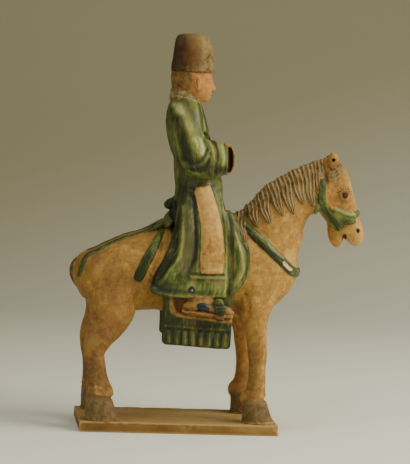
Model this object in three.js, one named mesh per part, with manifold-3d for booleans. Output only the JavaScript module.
// A glazed earthenware tomb figure: a musician in a tall hat rides a standing horse, whose four hooves are luted
// to a flat oblong plinth. Horse, rider, saddle cloth and harness are one fired body; the plinth is the other.
// Millimetres, +Z up, +X towards the horse's head, the origin at the centre of the plinth's underside.
import * as THREE from "three";
import { mergeVertices } from "three/addons/utils/BufferGeometryUtils.js";
import Module from "manifold-3d";

const wasm = await Module();
wasm.setup();

// The driving dimensions.
const PLINTH_LENGTH = 182;
const PLINTH_WIDTH = 94;
const PLINTH_HEIGHT = 9.7;
const HOOF_GAP = 0.3; // the figure and the plinth meet face to face
const PLINTH_CHIP = 3; // the near front corner is chipped off

const HIND_HOOF_Y = 34; // how far each hoof stands from the middle line
const FORE_HOOF_Y = 30;
const FAR_LEG_SETBACK = 4.5; // the far foreleg stands this far behind the near one

const HEM_Z = 124; // the lower edge of the rider's robe
const FLAP_OUT = 44.5; // the saddle cloth's outer face, from the middle line
const FLAP_THICK = 4.5;

const CLAY = {
  figure: { color: 0xb08a4e, roughness: 0.45 },
  plinth: { color: 0xa88b58, roughness: 0.8 },
};

// Limbs: a skin drawn over a row of rings.

const SIDEWAYS = new THREE.Vector3(0, 1, 0);
const UP = new THREE.Vector3(0, 0, 1);
const FORWARD = new THREE.Vector3(1, 0, 0);

// One ring's frame: it lies square to the path, or to a fixed direction where one is given, and its second axis
// keeps as near to `sideways` as it can.
function ringFrame(path, index, sideways, fixed) {
  const before = path[Math.max(index - 1, 0)];
  const after = path[Math.min(index + 1, path.length - 1)];
  const along = fixed ?? after.clone().sub(before).normalize();
  const across = sideways.clone().cross(along).normalize();
  const side = along.clone().cross(across).normalize();
  return { across, side };
}

// A point of a rounded section. square 2 is an ellipse, and more than 2 fills out its corners.
function sectionPoint(angle, square) {
  const c = Math.cos(angle);
  const s = Math.sin(angle);
  return [
    Math.sign(c) * Math.abs(c) ** (2 / square),
    Math.sign(s) * Math.abs(s) ** (2 / square),
  ];
}

// rings: [x, y, z, radius across the path in the upright plane, radius sideways, sideways vector or nothing].
// turn shifts the corners by a part of a side, and ripple(ring, corner) pinches a corner in, so the skin folds.
function limb(rings, { sides = 12, square = 2, turn = 0, along, ripple = () => 1 } = {}) {
  const path = rings.map(([x, y, z]) => new THREE.Vector3(x, y, z));
  const points = [];
  rings.forEach(([, , , across, side, sideways = SIDEWAYS], i) => {
    const frame = ringFrame(path, i, sideways, along);
    for (let k = 0; k < sides; k++) {
      const [c, s] = sectionPoint(((k + turn) / sides) * Math.PI * 2, square);
      const swell = ripple(i, k);
      points.push(
        path[i]
          .clone()
          .addScaledVector(frame.across, c * across * swell)
          .addScaledVector(frame.side, s * side * swell),
      );
    }
  });
  const faces = [];
  for (let i = 0; i + 1 < rings.length; i++) {
    for (let k = 0; k < sides; k++) {
      const a = i * sides + k;
      const b = i * sides + ((k + 1) % sides);
      faces.push([a, b, b + sides], [a, b + sides, a + sides]);
    }
  }
  const last = (rings.length - 1) * sides;
  const first = points.push(path[0].clone()) - 1;
  const end = points.push(path[path.length - 1].clone()) - 1;
  for (let k = 0; k < sides; k++) {
    const next = (k + 1) % sides;
    faces.push([first, next, k], [end, last + k, last + next]);
  }
  return solidFrom(points, faces);
}

// A closed body from points and faces, turned so that its faces point out.
function solidFrom(points, faces) {
  const vertProperties = new Float32Array(points.flatMap((p) => [p.x, p.y, p.z]));
  const asSolid = (list) =>
    new wasm.Manifold(
      new wasm.Mesh({ numProp: 3, vertProperties, triVerts: new Uint32Array(list.flat()) }),
    );
  const made = asSolid(faces);
  return made.volume() > 0 ? made : asSolid(faces.map(([a, b, c]) => [a, c, b]));
}

// A closed three.js geometry as a solid.
function solidOf(geometry) {
  const bare = geometry.clone();
  bare.deleteAttribute("normal");
  bare.deleteAttribute("uv");
  const merged = mergeVertices(bare, 1e-4);
  return new wasm.Manifold(
    new wasm.Mesh({
      numProp: 3,
      vertProperties: merged.attributes.position.array,
      triVerts: new Uint32Array(merged.index.array),
    }),
  );
}

function geometryOf(solid) {
  const { vertProperties, triVerts } = solid.getMesh();
  const geometry = new THREE.BufferGeometry();
  geometry.setAttribute("position", new THREE.BufferAttribute(vertProperties, 3));
  geometry.setIndex(new THREE.BufferAttribute(triVerts, 1));
  return geometry;
}

const joined = (solids) => solids.reduce((sum, solid) => sum.add(solid));

// The same rings on the far side of the middle line.
const mirrored = (rings) =>
  rings.map(([x, y, z, across, side, sideways]) => {
    const turned = sideways && new THREE.Vector3(sideways.x, -sideways.y, sideways.z);
    return [x, -y, z, across, side, turned];
  });

const NEAR = -1;
const FAR = 1;
const onSide = (rings, side) => (side === FAR ? mirrored(rings) : rings);
const bothSides = (make) => [make(NEAR), make(FAR)];

// Strips and ridges that lie on a form already made.

// Where a ray from outside first meets the form, with the form's normal there.
function skinPoint(skin, from, towards) {
  const ray = new THREE.Raycaster(from, towards.clone().normalize());
  const hit = ray.intersectObject(skin)[0];
  if (!hit) throw new Error(`no skin under ${from.toArray()}`);
  return { point: hit.point, normal: hit.face.normal };
}

const OUTSIDE = 200;
const fromSide = (skin, x, z, side) =>
  skinPoint(skin, new THREE.Vector3(x, side * OUTSIDE, z), new THREE.Vector3(0, -side, 0));
const fromAbove = (skin, x, y) =>
  skinPoint(skin, new THREE.Vector3(x, y, 2 * OUTSIDE), new THREE.Vector3(0, 0, -1));
const fromFront = (skin, y, z) =>
  skinPoint(skin, new THREE.Vector3(OUTSIDE, y, z), new THREE.Vector3(-1, 0, 0));

// A flat strip laid on the skin: each stop is a skin point with its half width.
const FLAT = { sides: 4, turn: 0.5, square: 9 };

function strip(stops, thick, options = FLAT) {
  return limb(
    stops.map(({ point, normal, half }) => [...point.toArray(), half, thick, normal]),
    options,
  );
}

const asSkin = (solid) => new THREE.Mesh(geometryOf(solid), new THREE.MeshBasicMaterial());

// The horse.

function barrel() {
  return limb(
    [
      [-99, 0, 141, 7, 8],
      [-94, 0, 139, 17, 19],
      [-84, 0, 136, 24, 31],
      [-68, 0, 137, 32, 37],
      [-48, 0, 142, 36, 38.5],
      [-24, 0, 146, 38, 37],
      [6, 0, 146, 41, 38],
      [36, 0, 147, 43, 38],
      [62, 0, 148, 44, 37],
      [82, 0, 149, 38, 33],
      [97, 0, 151, 27, 25],
      [105.5, 0, 152, 15, 15],
      [108.5, 0, 152, 6, 6],
    ],
    { sides: 12, square: 2.15, along: FORWARD },
  );
}

function neck() {
  return limb(
    [
      [62, 0, 152, 34, 30],
      [73, 0, 169, 33, 30],
      [82, 0, 184, 32, 27],
      [90.5, 0, 200.5, 26.5, 22],
      [101.5, 0, 214.5, 23, 18.5],
      [112.5, 0, 222, 22.5, 16.5],
      [124, 0, 226.5, 22.5, 15.5],
      [133, 0, 229, 17, 13],
    ],
    { sides: 10 },
  );
}

function horseHead() {
  const skull = limb(
    [
      [133.5, 0, 251, 7, 7],
      [135.5, 0, 244, 14, 12.5],
      [138, 0, 233, 17.5, 15],
      [141, 0, 221, 18, 15],
      [144.5, 0, 209, 17.5, 13.5],
      [148.5, 0, 199, 15.5, 11.5],
      [151.5, 0, 190, 14.5, 10.5],
      [153.5, 0, 184, 12, 9],
    ],
    { sides: 10, square: 2.3 },
  );
  const upperLip = limb(
    [
      [157, 0, 194, 8.5, 9.5],
      [160.5, 0, 185, 9, 10.5],
      [161, 0, 178, 8, 9.5],
      [160.3, 0, 173.5, 4.5, 6],
    ],
    { sides: 8 },
  );
  const lowerLip = limb(
    [
      [144, 0, 193, 8, 8],
      [145, 0, 182, 8, 8.5],
      [145.6, 0, 175, 7, 7.5],
      [146.2, 0, 171, 3.5, 4.5],
    ],
    { sides: 8 },
  );
  return joined([skull, upperLip, lowerLip]);
}

// A short rolled ear, open at its outer side.
function ear(side) {
  const shell = limb(
    onSide(
      [
        [132.5, -10.5, 245, 5, 4],
        [134.5, -12.5, 252, 5, 4.4],
        [136, -13, 257.8, 3, 2.8],
      ],
      side,
    ),
    { sides: 7 },
  );
  const hollow = limb(
    onSide(
      [
        [135.5, -18, 252.5, 2.3, 2.6, FORWARD],
        [135, -12, 251.5, 1.4, 1.6, FORWARD],
      ],
      side,
    ),
    { sides: 6 },
  );
  return { shell, hollow };
}

function eye(side) {
  return limb(
    onSide(
      [
        [147, -10, 220, 5, 5, FORWARD],
        [148, -15, 220.5, 3.6, 3.6, FORWARD],
        [148.2, -16, 220.5, 1.6, 1.6, FORWARD],
      ],
      side,
    ),
    { sides: 7 },
  );
}

function nostril(side) {
  const outward = new THREE.Vector3(0, 0, 1);
  return limb(
    onSide(
      [
        [166, -14, 189, 2, 2.4, outward],
        [162.5, -6, 187.5, 1.2, 1.4, outward],
      ],
      side,
    ),
    { sides: 6 },
  );
}

function hindLeg(side) {
  const y = HIND_HOOF_Y;
  return limb(
    onSide(
      [
        [-58, -18, 152, 12, 8],
        [-60, -22, 139, 22, 15],
        [-63, -25, 122, 23, 15.5],
        [-65, -27.5, 106, 20.5, 14],
        [-68.5, -29, 97, 18, 12.5],
        [-74, -31, 87, 14.5, 11],
        [-79, -33.5, 71, 9.6, 8.5],
        [-77, -y, 58, 8.8, 7.8],
        [-74.3, -y, 42, 10, 8.6],
        [-73.6, -y, 34.5, 11.6, 9.8],
        [-73, -y, 27, 10.6, 9.8],
      ],
      side,
    ),
    { sides: 9 },
  );
}

function foreLeg(side) {
  const y = FORE_HOOF_Y;
  const back = side === FAR ? FAR_LEG_SETBACK : 0;
  return limb(
    onSide(
      [
        [72, -22, 148, 21, 12],
        [69, -24, 129, 19, 14],
        [66.5 - back / 2, -26, 113, 16, 13],
        [67 - back, -28, 102, 12.5, 11],
        [68.8 - back, -29, 91, 10, 9.6],
        [70.4 - back, -y, 75, 9, 8.8],
        [71 - back, -y, 52, 7.9, 7.8],
        [70.3 - back, -y, 36, 9.6, 9],
        [70.3 - back, -y, 27, 9.9, 9.5],
      ],
      side,
    ),
    { sides: 8 },
  );
}

// A hoof flares from its sloping coronet to a flat sole on the plinth.
function hoof(x, y, length, width, square = 2.2) {
  const top = PLINTH_HEIGHT + HOOF_GAP;
  return limb(
    [
      [x - 3.6, y, top + 20.5, length * 0.66, width * 0.76],
      [x - 2.6, y, top + 15, length * 0.8, width * 0.87],
      [x, y, top + 2, length, width],
      [x, y, top, length, width],
    ],
    { sides: 8, square, along: UP },
  );
}

// The rounded back of the fetlock.
function ergot(x, y) {
  return limb(
    [
      [x - 6, y, 36, 4, 5],
      [x - 9.5, y, 31, 5, 5.5],
      [x - 8, y, 26, 3.5, 4.5],
    ],
    { sides: 7 },
  );
}

function tail() {
  return limb(
    [
      [-90, 0, 153, 3, 4],
      [-97, 0, 147, 4, 6.5],
      [-98.5, 0, 140, 4.5, 7],
      [-96, 0, 131, 4.5, 6],
      [-92, 0, 122, 3, 4],
    ],
    { sides: 8 },
  );
}

// The mane hangs in combed locks from the crest, down both sides of the neck.
const MANE_LOCKS = 8;
const CREST = [
  [57, 198],
  [66, 209],
  [78, 227],
  [92, 236.5],
  [106, 244],
  [119, 250],
  [130, 254],
];
const MANE_EDGE = [
  [56, 183],
  [64, 187],
  [75, 195],
  [88, 202],
  [99, 208],
  [111, 212],
  [123, 222],
];

const curveThrough = (points) =>
  new THREE.CatmullRomCurve3(points.map(([x, z]) => new THREE.Vector3(x, 0, z)));

const CREST_STEPS = 6;

function crestRoll() {
  const crest = curveThrough(CREST);
  const rings = [];
  for (let i = 0; i <= CREST_STEPS; i++) {
    const p = crest.getPoint(i / CREST_STEPS);
    rings.push([p.x + 1.5, 0, p.z - 3.5, 5, 7]);
  }
  return limb(rings, { sides: 6 });
}

// One side of the mane is a ridged sheet on the neck: it swells at each lock and dips between them.
const MANE_OUT = 3;
const MANE_IN = -8;
const HANG = [0.12, 0.6, 1];
const HANG_SWELL = [0.5, 1, 0.1];
const LOCK_GAP = 0.25; // how far the mane draws back between two locks

function maneSheet(skin, side) {
  const crest = curveThrough(CREST);
  const edge = curveThrough(MANE_EDGE);
  const columns = MANE_LOCKS * 2 + 1;
  const points = [];
  for (let i = 0; i < columns; i++) {
    const u = i / (columns - 1);
    const lock = i % 2;
    HANG.forEach((t, k) => {
      const reach = k === HANG.length - 1 && !lock ? t - LOCK_GAP : t;
      const at = crest.getPoint(u).lerp(edge.getPoint(u), reach);
      const { point, normal } = fromSide(skin, at.x, at.z, side);
      const out = HANG_SWELL[k] * MANE_OUT * (lock ? 1 : 0.35);
      points.push(point.clone().addScaledVector(normal, out));
      points.push(point.clone().addScaledVector(normal, MANE_IN));
    });
  }
  return closedSheet(points, columns, HANG.length);
}

// A sheet with two faces: its points come column by column, each as an outer and an inner point.
function closedSheet(points, columns, rows) {
  const outer = (i, j) => (i * rows + j) * 2;
  const inner = (i, j) => outer(i, j) + 1;
  const faces = [];
  const quad = (a, b, c, d) => faces.push([a, b, c], [a, c, d]);
  for (let i = 0; i + 1 < columns; i++) {
    for (let j = 0; j + 1 < rows; j++) {
      quad(outer(i, j), outer(i + 1, j), outer(i + 1, j + 1), outer(i, j + 1));
      quad(inner(i, j), inner(i, j + 1), inner(i + 1, j + 1), inner(i + 1, j));
    }
    quad(outer(i, 0), inner(i, 0), inner(i + 1, 0), outer(i + 1, 0));
    quad(outer(i, rows - 1), outer(i + 1, rows - 1), inner(i + 1, rows - 1), inner(i, rows - 1));
  }
  for (let j = 0; j + 1 < rows; j++) {
    quad(outer(0, j), outer(0, j + 1), inner(0, j + 1), inner(0, j));
    const i = columns - 1;
    quad(outer(i, j), inner(i, j), inner(i, j + 1), outer(i, j + 1));
  }
  return solidFrom(points, faces);
}

// The forelock is combed forward under the ear and up over the brow.
function forelock(skin, side) {
  const route = [
    [132, 236, 3],
    [139, 237.5, 3.4],
    [144.5, 242, 2.6],
    [145, 246, 1.4],
  ];
  return strip(
    route.map(([x, z, half]) => ({ ...fromSide(skin, x, z, side), half })),
    1.5,
  );
}

// The harness, in flat applied strips.

function breastStrap(skin) {
  const flank = [
    [56, 190],
    [70, 176],
    [84, 163],
    [97, 152],
  ];
  const half = 4.8;
  const near = flank.map(([x, z]) => ({ ...fromSide(skin, x, z, NEAR), half }));
  const far = flank.map(([x, z]) => ({ ...fromSide(skin, x, z, FAR), half }));
  const chest = [-8, 8].map((y) => ({ ...fromFront(skin, y, 147), half: 4.2 }));
  return strip([...near, ...chest, ...far.reverse()], 2.6);
}

function crupperStrap(skin, side) {
  const stops = [-16, -36, -56, -72, -85, -93].map((x) => ({
    ...fromAbove(skin, x, side * (x < -80 ? 12 : 15)),
    half: 2.8,
  }));
  stops.push({ ...fromSide(skin, -93.5, 141, side), half: 2.2 });
  return strip(stops, 2.4);
}

function ribbon(skin, side) {
  const route = [
    [-20, 182, 4],
    [-28, 171, 5.4],
    [-35.5, 157, 5.8],
    [-41, 144, 5],
    [-43, 138.5, 2.5],
  ];
  return strip(
    route.map(([x, z, half]) => ({ ...fromSide(skin, x, z, side), half })),
    2.4,
  );
}

const BRIDLE_OUT = 2.2;

function bridle(skin, side) {
  const lay = (route) =>
    strip(
      route.map(([x, z, half]) => ({ ...fromSide(skin, x, z, side), half })),
      BRIDLE_OUT,
    );
  const cheek = lay([
    [126, 236, 2.4],
    [125.5, 216, 2.6],
    [134, 202, 2.8],
    [146, 190, 4.5],
  ]);
  const throat = lay([
    [127, 214, 2],
    [124, 208, 2.6],
    [123.5, 203.5, 2.4],
  ]);
  const band = strip(
    [
      { ...fromSide(skin, 144, 191.5, side), half: 3.5 },
      { ...fromSide(skin, 155, 197, side), half: 3 },
      { ...fromFront(skin, side * 6, 201.5), half: 3 },
      { ...fromFront(skin, 0, 202.5), half: 3 },
    ],
    BRIDLE_OUT,
  );
  return joined([cheek, throat, band]);
}

// The rider.

function torso() {
  return limb(
    [
      [13, 0, 190, 24.5, 32],
      [13, 0, 203, 24, 31],
      [14, 0, 217, 21.5, 28.5],
      [13, 0, 229, 21.5, 27],
      [9, 0, 246, 19, 25.5],
      [6, 0, 262, 17.5, 24.5],
      [2.5, 0, 278, 16.5, 24],
      [-1.3, 0, 290, 16.2, 23],
      [-2.3, 0, 297, 15.3, 20],
      [-2, 0, 303, 11, 12],
    ],
    { sides: 12, square: 2.3, along: UP },
  );
}

// The robe hangs down each side of the horse over the rider's leg, and its folds open out towards the hem.
const SKIRT_SIDES = 12; // every second corner is the ridge of a fold
const WAIST_RING = 6;
const FOLD_DEPTH = 0.07;

function skirt(side) {
  return limb(
    onSide(
      [
        [5, -41, HEM_Z, 26, 8],
        [5, -41, 127.5, 33.5, 9.5],
        [6, -40, 134, 36, 10],
        [11, -37.5, 148, 36, 10],
        [15, -33.5, 169, 29.5, 11],
        [14.5, -30, 187, 25, 12],
        [14, -24.5, 206, 21.5, 12],
        [14, -14, 226, 17, 9],
      ],
      side,
    ),
    {
      sides: SKIRT_SIDES,
      square: 2.6,
      along: UP,
      ripple: (ring, corner) => 1 - (corner % 2) * FOLD_DEPTH * (1 - Math.min(ring / WAIST_RING, 1)),
    },
  );
}

// The robe's front edge turns back over the saddle in a rounded lobe with a thick lip.
function frontLobe(side) {
  return limb(
    onSide(
      [
        [40, -33, 196, 4, 5],
        [43, -37, 178, 8.5, 6],
        [46.5, -40, 158, 12.5, 6],
        [45.5, -41, 145, 11.5, 6],
        [36, -42, 129, 5, 5],
      ],
      side,
    ),
    { sides: 8, square: 2.6 },
  );
}

// The leg under its pale trouser panel, cut off square above the hem band.
function lap(side) {
  return limb(
    onSide(
      [
        [15, -24, 224, 7, 6],
        [17, -30, 210, 9, 8],
        [21, -36.5, 190, 10, 8.5],
        [23.5, -41, 166, 10.8, 8],
        [23, -43.5, 145, 11, 6.5],
      ],
      side,
    ),
    { sides: 8, square: 2.6 },
  );
}

// The hem band's upper edge, which crosses the skirt under the trouser panel.
function hemRidge(skin, side) {
  const stops = [2, 13, 24, 35].map((x) => ({ ...fromSide(skin, x, 141.5, side), half: 1.5 }));
  return strip(stops, 1.6, { sides: 6, square: 2 });
}

function arm(side) {
  return limb(
    onSide(
      [
        [-3, -17, 299, 7, 7],
        [-2, -23, 292.5, 12, 10],
        [-0.5, -27.5, 280, 13.5, 11.5],
        [1, -30.5, 266, 13, 12],
        [3, -32, 253, 13, 12],
        [5, -32, 243, 10, 10],
      ],
      side,
    ),
    { sides: 8 },
  );
}

// The wide sleeve hangs from the forearm in folds, and closes in front of the chest.
function sleeve(side) {
  return limb(
    onSide(
      [
        [0, -31, 250, 11, 9],
        [4, -33, 247.5, 15, 11],
        [12, -31, 246.5, 16, 11],
        [18, -27.5, 246.5, 15, 10],
        [24, -22, 247, 16, 10.6],
        [31, -15, 247.5, 14.5, 9],
        [37, -8, 248, 13, 8.8],
        [39.5, -4, 248.5, 11, 7.5],
      ],
      side,
    ),
    { sides: 8 },
  );
}

// The hem of the far sleeve stands forward as a thin crescent, and both sleeves are hollow behind it.
function cuff() {
  return limb(
    [
      [35, 3, 262, 2.6, 4],
      [40.5, 3, 259.5, 2.8, 5],
      [43, 3, 253, 2.6, 6],
      [43.3, 3, 246, 2.6, 6],
      [41.5, 3, 240, 2.6, 5],
      [37, 3, 235.5, 2.4, 4],
    ],
    { sides: 6 },
  );
}

function sleeveHollow() {
  return limb(
    [
      [39, -16, 248, 8.5, 2.2, FORWARD],
      [39, -4, 248, 9, 2.2, FORWARD],
      [38.5, 2, 248, 6.5, 1.6, FORWARD],
    ],
    { sides: 8 },
  );
}

function sashKnot() {
  return limb(
    [
      [-5, 0, 208, 7, 9],
      [-11, 0, 206, 5.5, 8],
      [-15.5, 0, 204.5, 4.5, 6.5],
      [-18, 0, 204, 2, 3],
    ],
    { sides: 7 },
  );
}

// The saddle shows as a low cantle behind the rider and a pommel in front.
const ARCH_STEPS = 2; // rings on each side of the middle one
const ARCH_TURN = 1.15; // how far each end of the arch bends down, in radians
const ARCH_DROP = 0.72;
const ARCH_TAPER = 0.6;

function saddleArch(x, top, half, thick) {
  const rings = [];
  for (let i = -ARCH_STEPS; i <= ARCH_STEPS; i++) {
    const part = i / ARCH_STEPS;
    const turn = part * ARCH_TURN;
    const radius = thick * (1 - Math.abs(part) * ARCH_TAPER);
    const z = top - half * ARCH_DROP * (1 - Math.cos(turn));
    rings.push([x, Math.sin(turn) * half, z, radius, radius, FORWARD]);
  }
  return limb(rings, { sides: 5 });
}

function collar() {
  return limb(
    [
      [-4.5, 0, 292, 13.5, 17],
      [-3.2, 0, 299, 14.6, 16],
      [-1, 0, 305, 14, 14],
      [0.8, 0, 309.5, 12.5, 12],
    ],
    { sides: 10, along: UP },
  );
}

function riderHead() {
  const skull = limb(
    [
      [7, 0, 300.5, 5, 5],
      [6, 0, 303.5, 10, 8.5],
      [5, 0, 308, 15, 12],
      [4.5, 0, 314, 18, 14.3],
      [4, 0, 321, 19, 15.4],
      [3.5, 0, 328, 19, 15.6],
      [3.5, 0, 334, 17, 14.5],
    ],
    { sides: 12, along: UP },
  );
  const nose = limb(
    [
      [21.6, 0, 325, 1.6, 1.6],
      [23.2, 0, 320.5, 2, 2],
      [24, 0, 317.5, 2, 2.8],
      [22, 0, 315, 1.4, 2],
    ],
    { sides: 6 },
  );
  const ears = bothSides((side) =>
    limb(
      onSide(
        [
          [6.5, -15.4, 329, 2.6, 1.8],
          [7.5, -16.2, 323, 3.6, 2],
          [9, -14.8, 316, 1.8, 1.6],
        ],
        side,
      ),
      { sides: 6 },
    ),
  );
  return joined([skull, nose, ...ears]);
}

// The tall hat narrows upwards, and its crown tips a little forward.
function hat() {
  return limb(
    [
      [3.5, 0, 327.5, 19.4, 16.8],
      [3.5, 0, 330, 20, 17.3],
      [3.4, 0, 354, 17.2, 15],
      [4.4, 0, 360, 14.6, 13],
      [5.2, 0, 363, 8.5, 7.5],
    ],
    { sides: 14, along: UP },
  );
}

// The saddle cloth: a flat flap on each side, with a raised rail above a fringe of short cords. The near flap
// reaches further back than the far one.
const NEAR_FLAP_REAR = -19;
const FAR_FLAP_REAR = -14;
const FLAP_FRONT = 44;
const FLAP_LOW = 81;
const FLAP_DROP = 2.6; // the lower edge falls this much towards the front
const FLAP_TOP = 130;
const FLAP_CORNER = 4;

const RAIL_Z = 96;
const RAIL_HALF = 1.2;
const FRINGE_LOW = 81;
const FRINGE_TOP = 94;
const FRINGE_CORDS = 8;
const FRINGE_MARGIN = 4;
const CORD_OUT = 1.5;

const flapRear = (side) => (side === FAR ? FAR_FLAP_REAR : NEAR_FLAP_REAR);

// An outline drawn in x and z becomes a slab on the given side, with its outer face at FLAP_OUT + proud.
function sideSlab(outline, thick, proud, side) {
  const slab = new THREE.ExtrudeGeometry(outline, {
    depth: thick,
    bevelEnabled: false,
    curveSegments: 3,
  });
  slab.rotateX(Math.PI / 2);
  slab.translate(0, side === FAR ? FLAP_OUT + proud : thick - FLAP_OUT - proud, 0);
  return solidOf(slab);
}

function flap(side) {
  const rear = flapRear(side);
  const outline = new THREE.Shape();
  outline.moveTo(rear, FLAP_TOP);
  outline.lineTo(rear, FLAP_LOW + FLAP_CORNER);
  outline.quadraticCurveTo(rear, FLAP_LOW, rear + FLAP_CORNER, FLAP_LOW);
  const low = FLAP_LOW - FLAP_DROP;
  outline.lineTo(FLAP_FRONT - FLAP_CORNER / 2, low);
  outline.quadraticCurveTo(FLAP_FRONT, low, FLAP_FRONT, low + FLAP_CORNER / 2);
  outline.lineTo(FLAP_FRONT, FLAP_TOP);
  outline.closePath();
  const y = side * FLAP_OUT;
  const rail = limb(
    [
      [rear + 1.5, y, RAIL_Z + 0.5, RAIL_HALF, RAIL_HALF],
      [FLAP_FRONT - 1, y, RAIL_Z - 0.5, RAIL_HALF, RAIL_HALF],
    ],
    { sides: 5 },
  );
  return joined([sideSlab(outline, FLAP_THICK, 0, side), rail, fringe(side)]);
}

// The fringe is one strip, cut into a ridge for each cord: a comb seen from below.
function fringe(side) {
  const start = flapRear(side) + FRINGE_MARGIN;
  const pitch = (FLAP_FRONT - FRINGE_MARGIN - start) / FRINGE_CORDS;
  const y = side * FLAP_OUT;
  const comb = new THREE.Shape();
  comb.moveTo(start, y - side);
  for (let i = 0; i < FRINGE_CORDS; i++) {
    const x = start + i * pitch;
    comb.lineTo(x + pitch * 0.1, y + side * CORD_OUT * 0.2);
    comb.lineTo(x + pitch * 0.5, y + side * CORD_OUT);
    comb.lineTo(x + pitch * 0.9, y + side * CORD_OUT * 0.2);
  }
  comb.lineTo(start + FRINGE_CORDS * pitch, y - side);
  comb.closePath();
  const depth = FRINGE_TOP - FRINGE_LOW;
  const ridges = new THREE.ExtrudeGeometry(comb, { depth, bevelEnabled: false });
  ridges.translate(0, 0, FRINGE_LOW);
  return solidOf(ridges);
}

function boot(side) {
  const ankle = limb(
    onSide(
      [
        [14, -44, 128, 11, 6],
        [16, -46.5, 117, 13, 7],
      ],
      side,
    ),
    { sides: 7 },
  );
  const foot = limb(
    onSide(
      [
        [2, -46.5, 116, 5, 5],
        [14, -48.5, 116, 6, 7.5],
        [30, -49, 114, 6, 7.5],
        [42, -49, 111, 3.5, 5],
        [45, -48.5, 110, 1.6, 2.4],
      ],
      side,
    ),
    { sides: 6 },
  );
  const sole = limb(
    onSide(
      [
        [-1, -47, 112.5, 1.6, 7],
        [20, -49.5, 110, 1.8, 9],
        [44, -49, 107.5, 1.4, 5],
      ],
      side,
    ),
    { sides: 6, square: 3 },
  );
  const clasp = limb(
    onSide(
      [
        [12, -54.5, 116, 3, 1.8],
        [17.5, -56, 116, 4, 2],
        [23, -55.5, 115, 2.6, 1.6],
      ],
      side,
    ),
    { sides: 6 },
  );
  const stirrup = limb(
    onSide(
      [
        [32.5, -50, 121.5, 4.5, 5],
        [33, -54, 117, 5.4, 4],
        [33.5, -55.5, 111, 5.4, 3.4],
        [33.5, -54, 105.5, 4.6, 4],
      ],
      side,
    ),
    { sides: 6, square: 3 },
  );
  return joined(side === NEAR ? [ankle, foot, sole, stirrup, clasp] : [ankle, foot, sole, stirrup]);
}

// The panel on the flap behind the boot, framed by a low rim.
const PANEL_RIM = 1.4;

function bootPanel(side) {
  const corners = [
    [-9, 124],
    [-6.5, 110],
    [-2, 106.5],
    [42, 103.5],
  ];
  return limb(
    corners.map(([x, z]) => [x, side * FLAP_OUT, z, PANEL_RIM, PANEL_RIM]),
    { sides: 5 },
  );
}

// The straps, the mane and the boots lie on forms that are already joined, so the horse and the rider come first.
function horseAndRider() {
  const legs = bothSides((side) => joined([hindLeg(side), foreLeg(side)]));
  const hooves = bothSides((side) => {
    const setback = side === FAR ? FAR_LEG_SETBACK : 0;
    return joined([
      hoof(-70, side * HIND_HOOF_Y, 16, 12.8),
      hoof(73.5 - setback, side * FORE_HOOF_Y, 14.5, 12.5),
      ergot(70 - setback, side * FORE_HOOF_Y),
    ]);
  });
  const horse = joined([barrel(), neck(), horseHead(), crestRoll(), tail(), ...legs, ...hooves]);
  const horseSkin = asSkin(horse);

  const rider = joined([
    torso(),
    collar(),
    riderHead(),
    hat(),
    sashKnot(),
    cuff(),
    ...bothSides((side) => joined([skirt(side), frontLobe(side), lap(side), arm(side), sleeve(side)])),
  ]);
  const riderSkin = asSkin(rider);

  const onHorse = bothSides((side) =>
    joined([
      crupperStrap(horseSkin, side),
      ribbon(horseSkin, side),
      bridle(horseSkin, side),
      maneSheet(horseSkin, side),
      forelock(horseSkin, side),
      ear(side).shell,
      eye(side),
    ]),
  );
  const onRider = bothSides((side) =>
    joined([
      hemRidge(riderSkin, side),
      flap(side),
      boot(side),
      bootPanel(side),
    ]),
  );
  const saddle = joined([saddleArch(-12, 188, 24, 6), saddleArch(41, 195, 20, 6)]);

  const hollows = [
    sleeveHollow(),
    ...bothSides((side) => joined([ear(side).hollow, nostril(side)])),
  ];
  return joined([horse, rider, saddle, breastStrap(horseSkin), ...onHorse, ...onRider]).subtract(
    joined(hollows),
  );
}

// The plinth is a plain flat slab.
function plinth() {
  const halfLength = PLINTH_LENGTH / 2;
  const halfWidth = PLINTH_WIDTH / 2;
  const outline = new THREE.Shape();
  outline.moveTo(-halfLength, -halfWidth);
  outline.lineTo(halfLength - PLINTH_CHIP, -halfWidth);
  outline.lineTo(halfLength, -halfWidth + PLINTH_CHIP);
  outline.lineTo(halfLength, halfWidth);
  outline.lineTo(-halfLength, halfWidth);
  outline.closePath();
  return new THREE.ExtrudeGeometry(outline, {
    depth: PLINTH_HEIGHT,
    bevelEnabled: false,
  });
}

function clayMesh(name, geometry, clay) {
  const material = new THREE.MeshStandardMaterial({ ...clay, metalness: 0 });
  const mesh = new THREE.Mesh(geometry, material);
  mesh.name = name;
  return mesh;
}

const figure = new THREE.Group();
figure.name = "horseback_musician";
figure.add(clayMesh("horse_and_rider", geometryOf(horseAndRider()), CLAY.figure));
figure.add(clayMesh("plinth", plinth(), CLAY.plinth));

export default figure;
